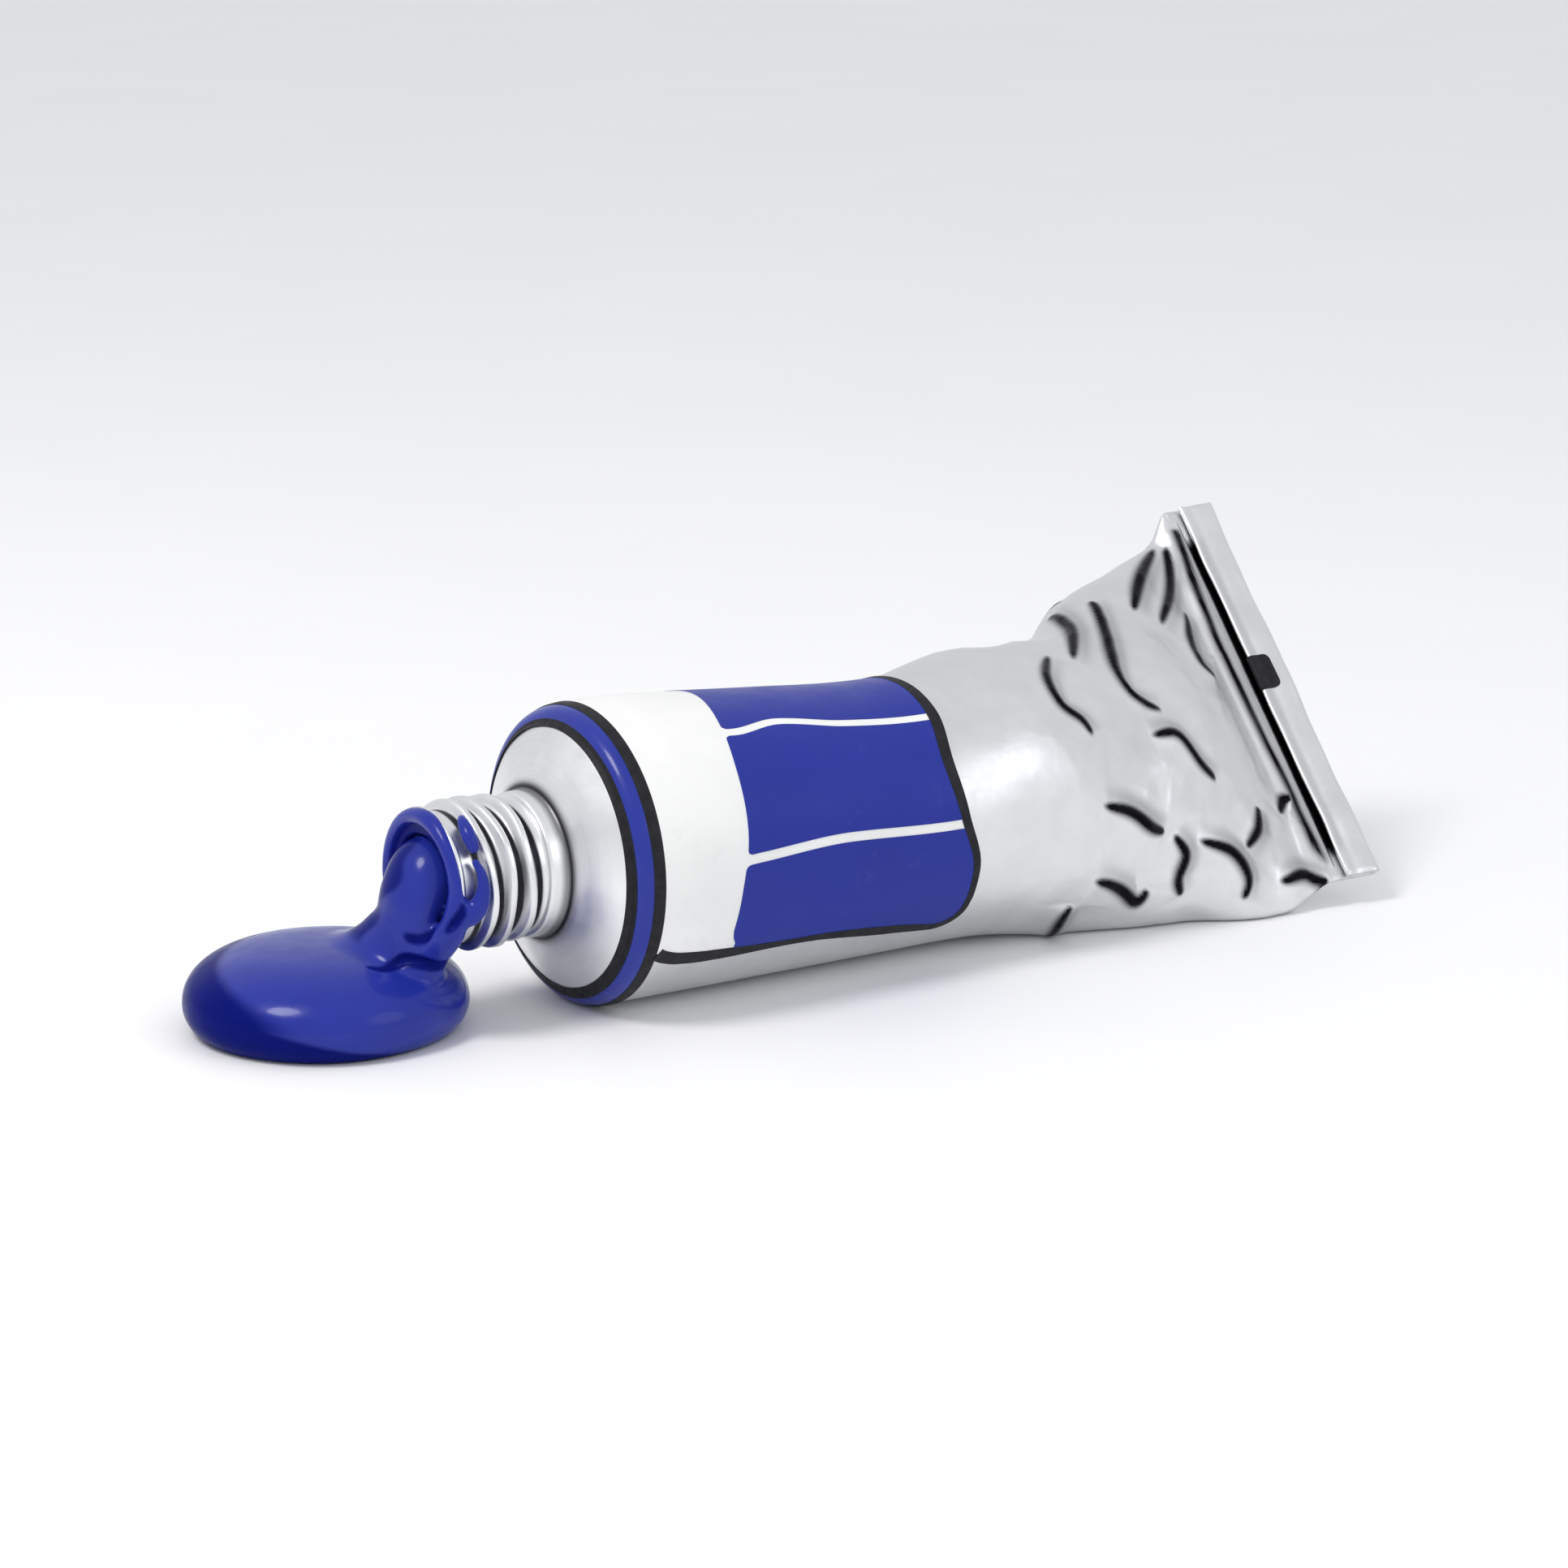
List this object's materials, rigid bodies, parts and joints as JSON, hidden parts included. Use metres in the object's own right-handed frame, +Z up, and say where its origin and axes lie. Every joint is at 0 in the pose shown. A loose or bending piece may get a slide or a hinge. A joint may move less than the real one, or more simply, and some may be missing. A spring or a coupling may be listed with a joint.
{
  "type": "paint tube",
  "caption": "Collapsible aluminium artist's paint tube lying open on its side, with crumpled tail, folding crimp, threaded nozzle and a puddle of paint.",
  "frame": {"origin": "on the table, under the middle of the whole object's box", "axes": "+X along the tube from the nozzle and the puddle to the crimp, +Z up from the table"},
  "size_m": [0.1302, 0.0372, 0.0386],
  "materials": {
    "bare_aluminium": "satin",
    "head_metal": "satin",
    "band_enamel": "gloss",
    "label_white": "satin",
    "label_blue": "satin",
    "paint": "wet gloss",
    "lacquer": "satin",
    "latex": "matte",
    "mark_ink": "matte"
  },
  "bodies": {
    "tube": {"tube_sleeve": "bare_aluminium", "tube_head": "head_metal", "colour_band": "band_enamel", "label_sheet": "label_white", "label_top_panel": "label_blue", "label_middle_panel": "label_blue", "label_lower_panel": "label_blue", "label_back_upper_panel": "label_blue", "label_back_lower_panel": "label_blue", "inner_lacquer": "lacquer", "end_seal": "latex", "paint_fill": "paint", "paint_rim": "paint", "paint_stream": "paint", "paint_puddle": "paint", "paint_drop": "paint", "paint_run": "paint"},
    "tail": {"crimp_fold": "bare_aluminium", "eye_mark": "mark_ink"}
  },
  "joints": [
    {"name": "tail_fold", "type": "hinge", "parent": "tube", "child": "tail", "pos_m": [0.05935, -0.00278, 0.0202], "axis": [0, -0.6494, -0.7604], "range_deg": [0, 90]}
  ]
}
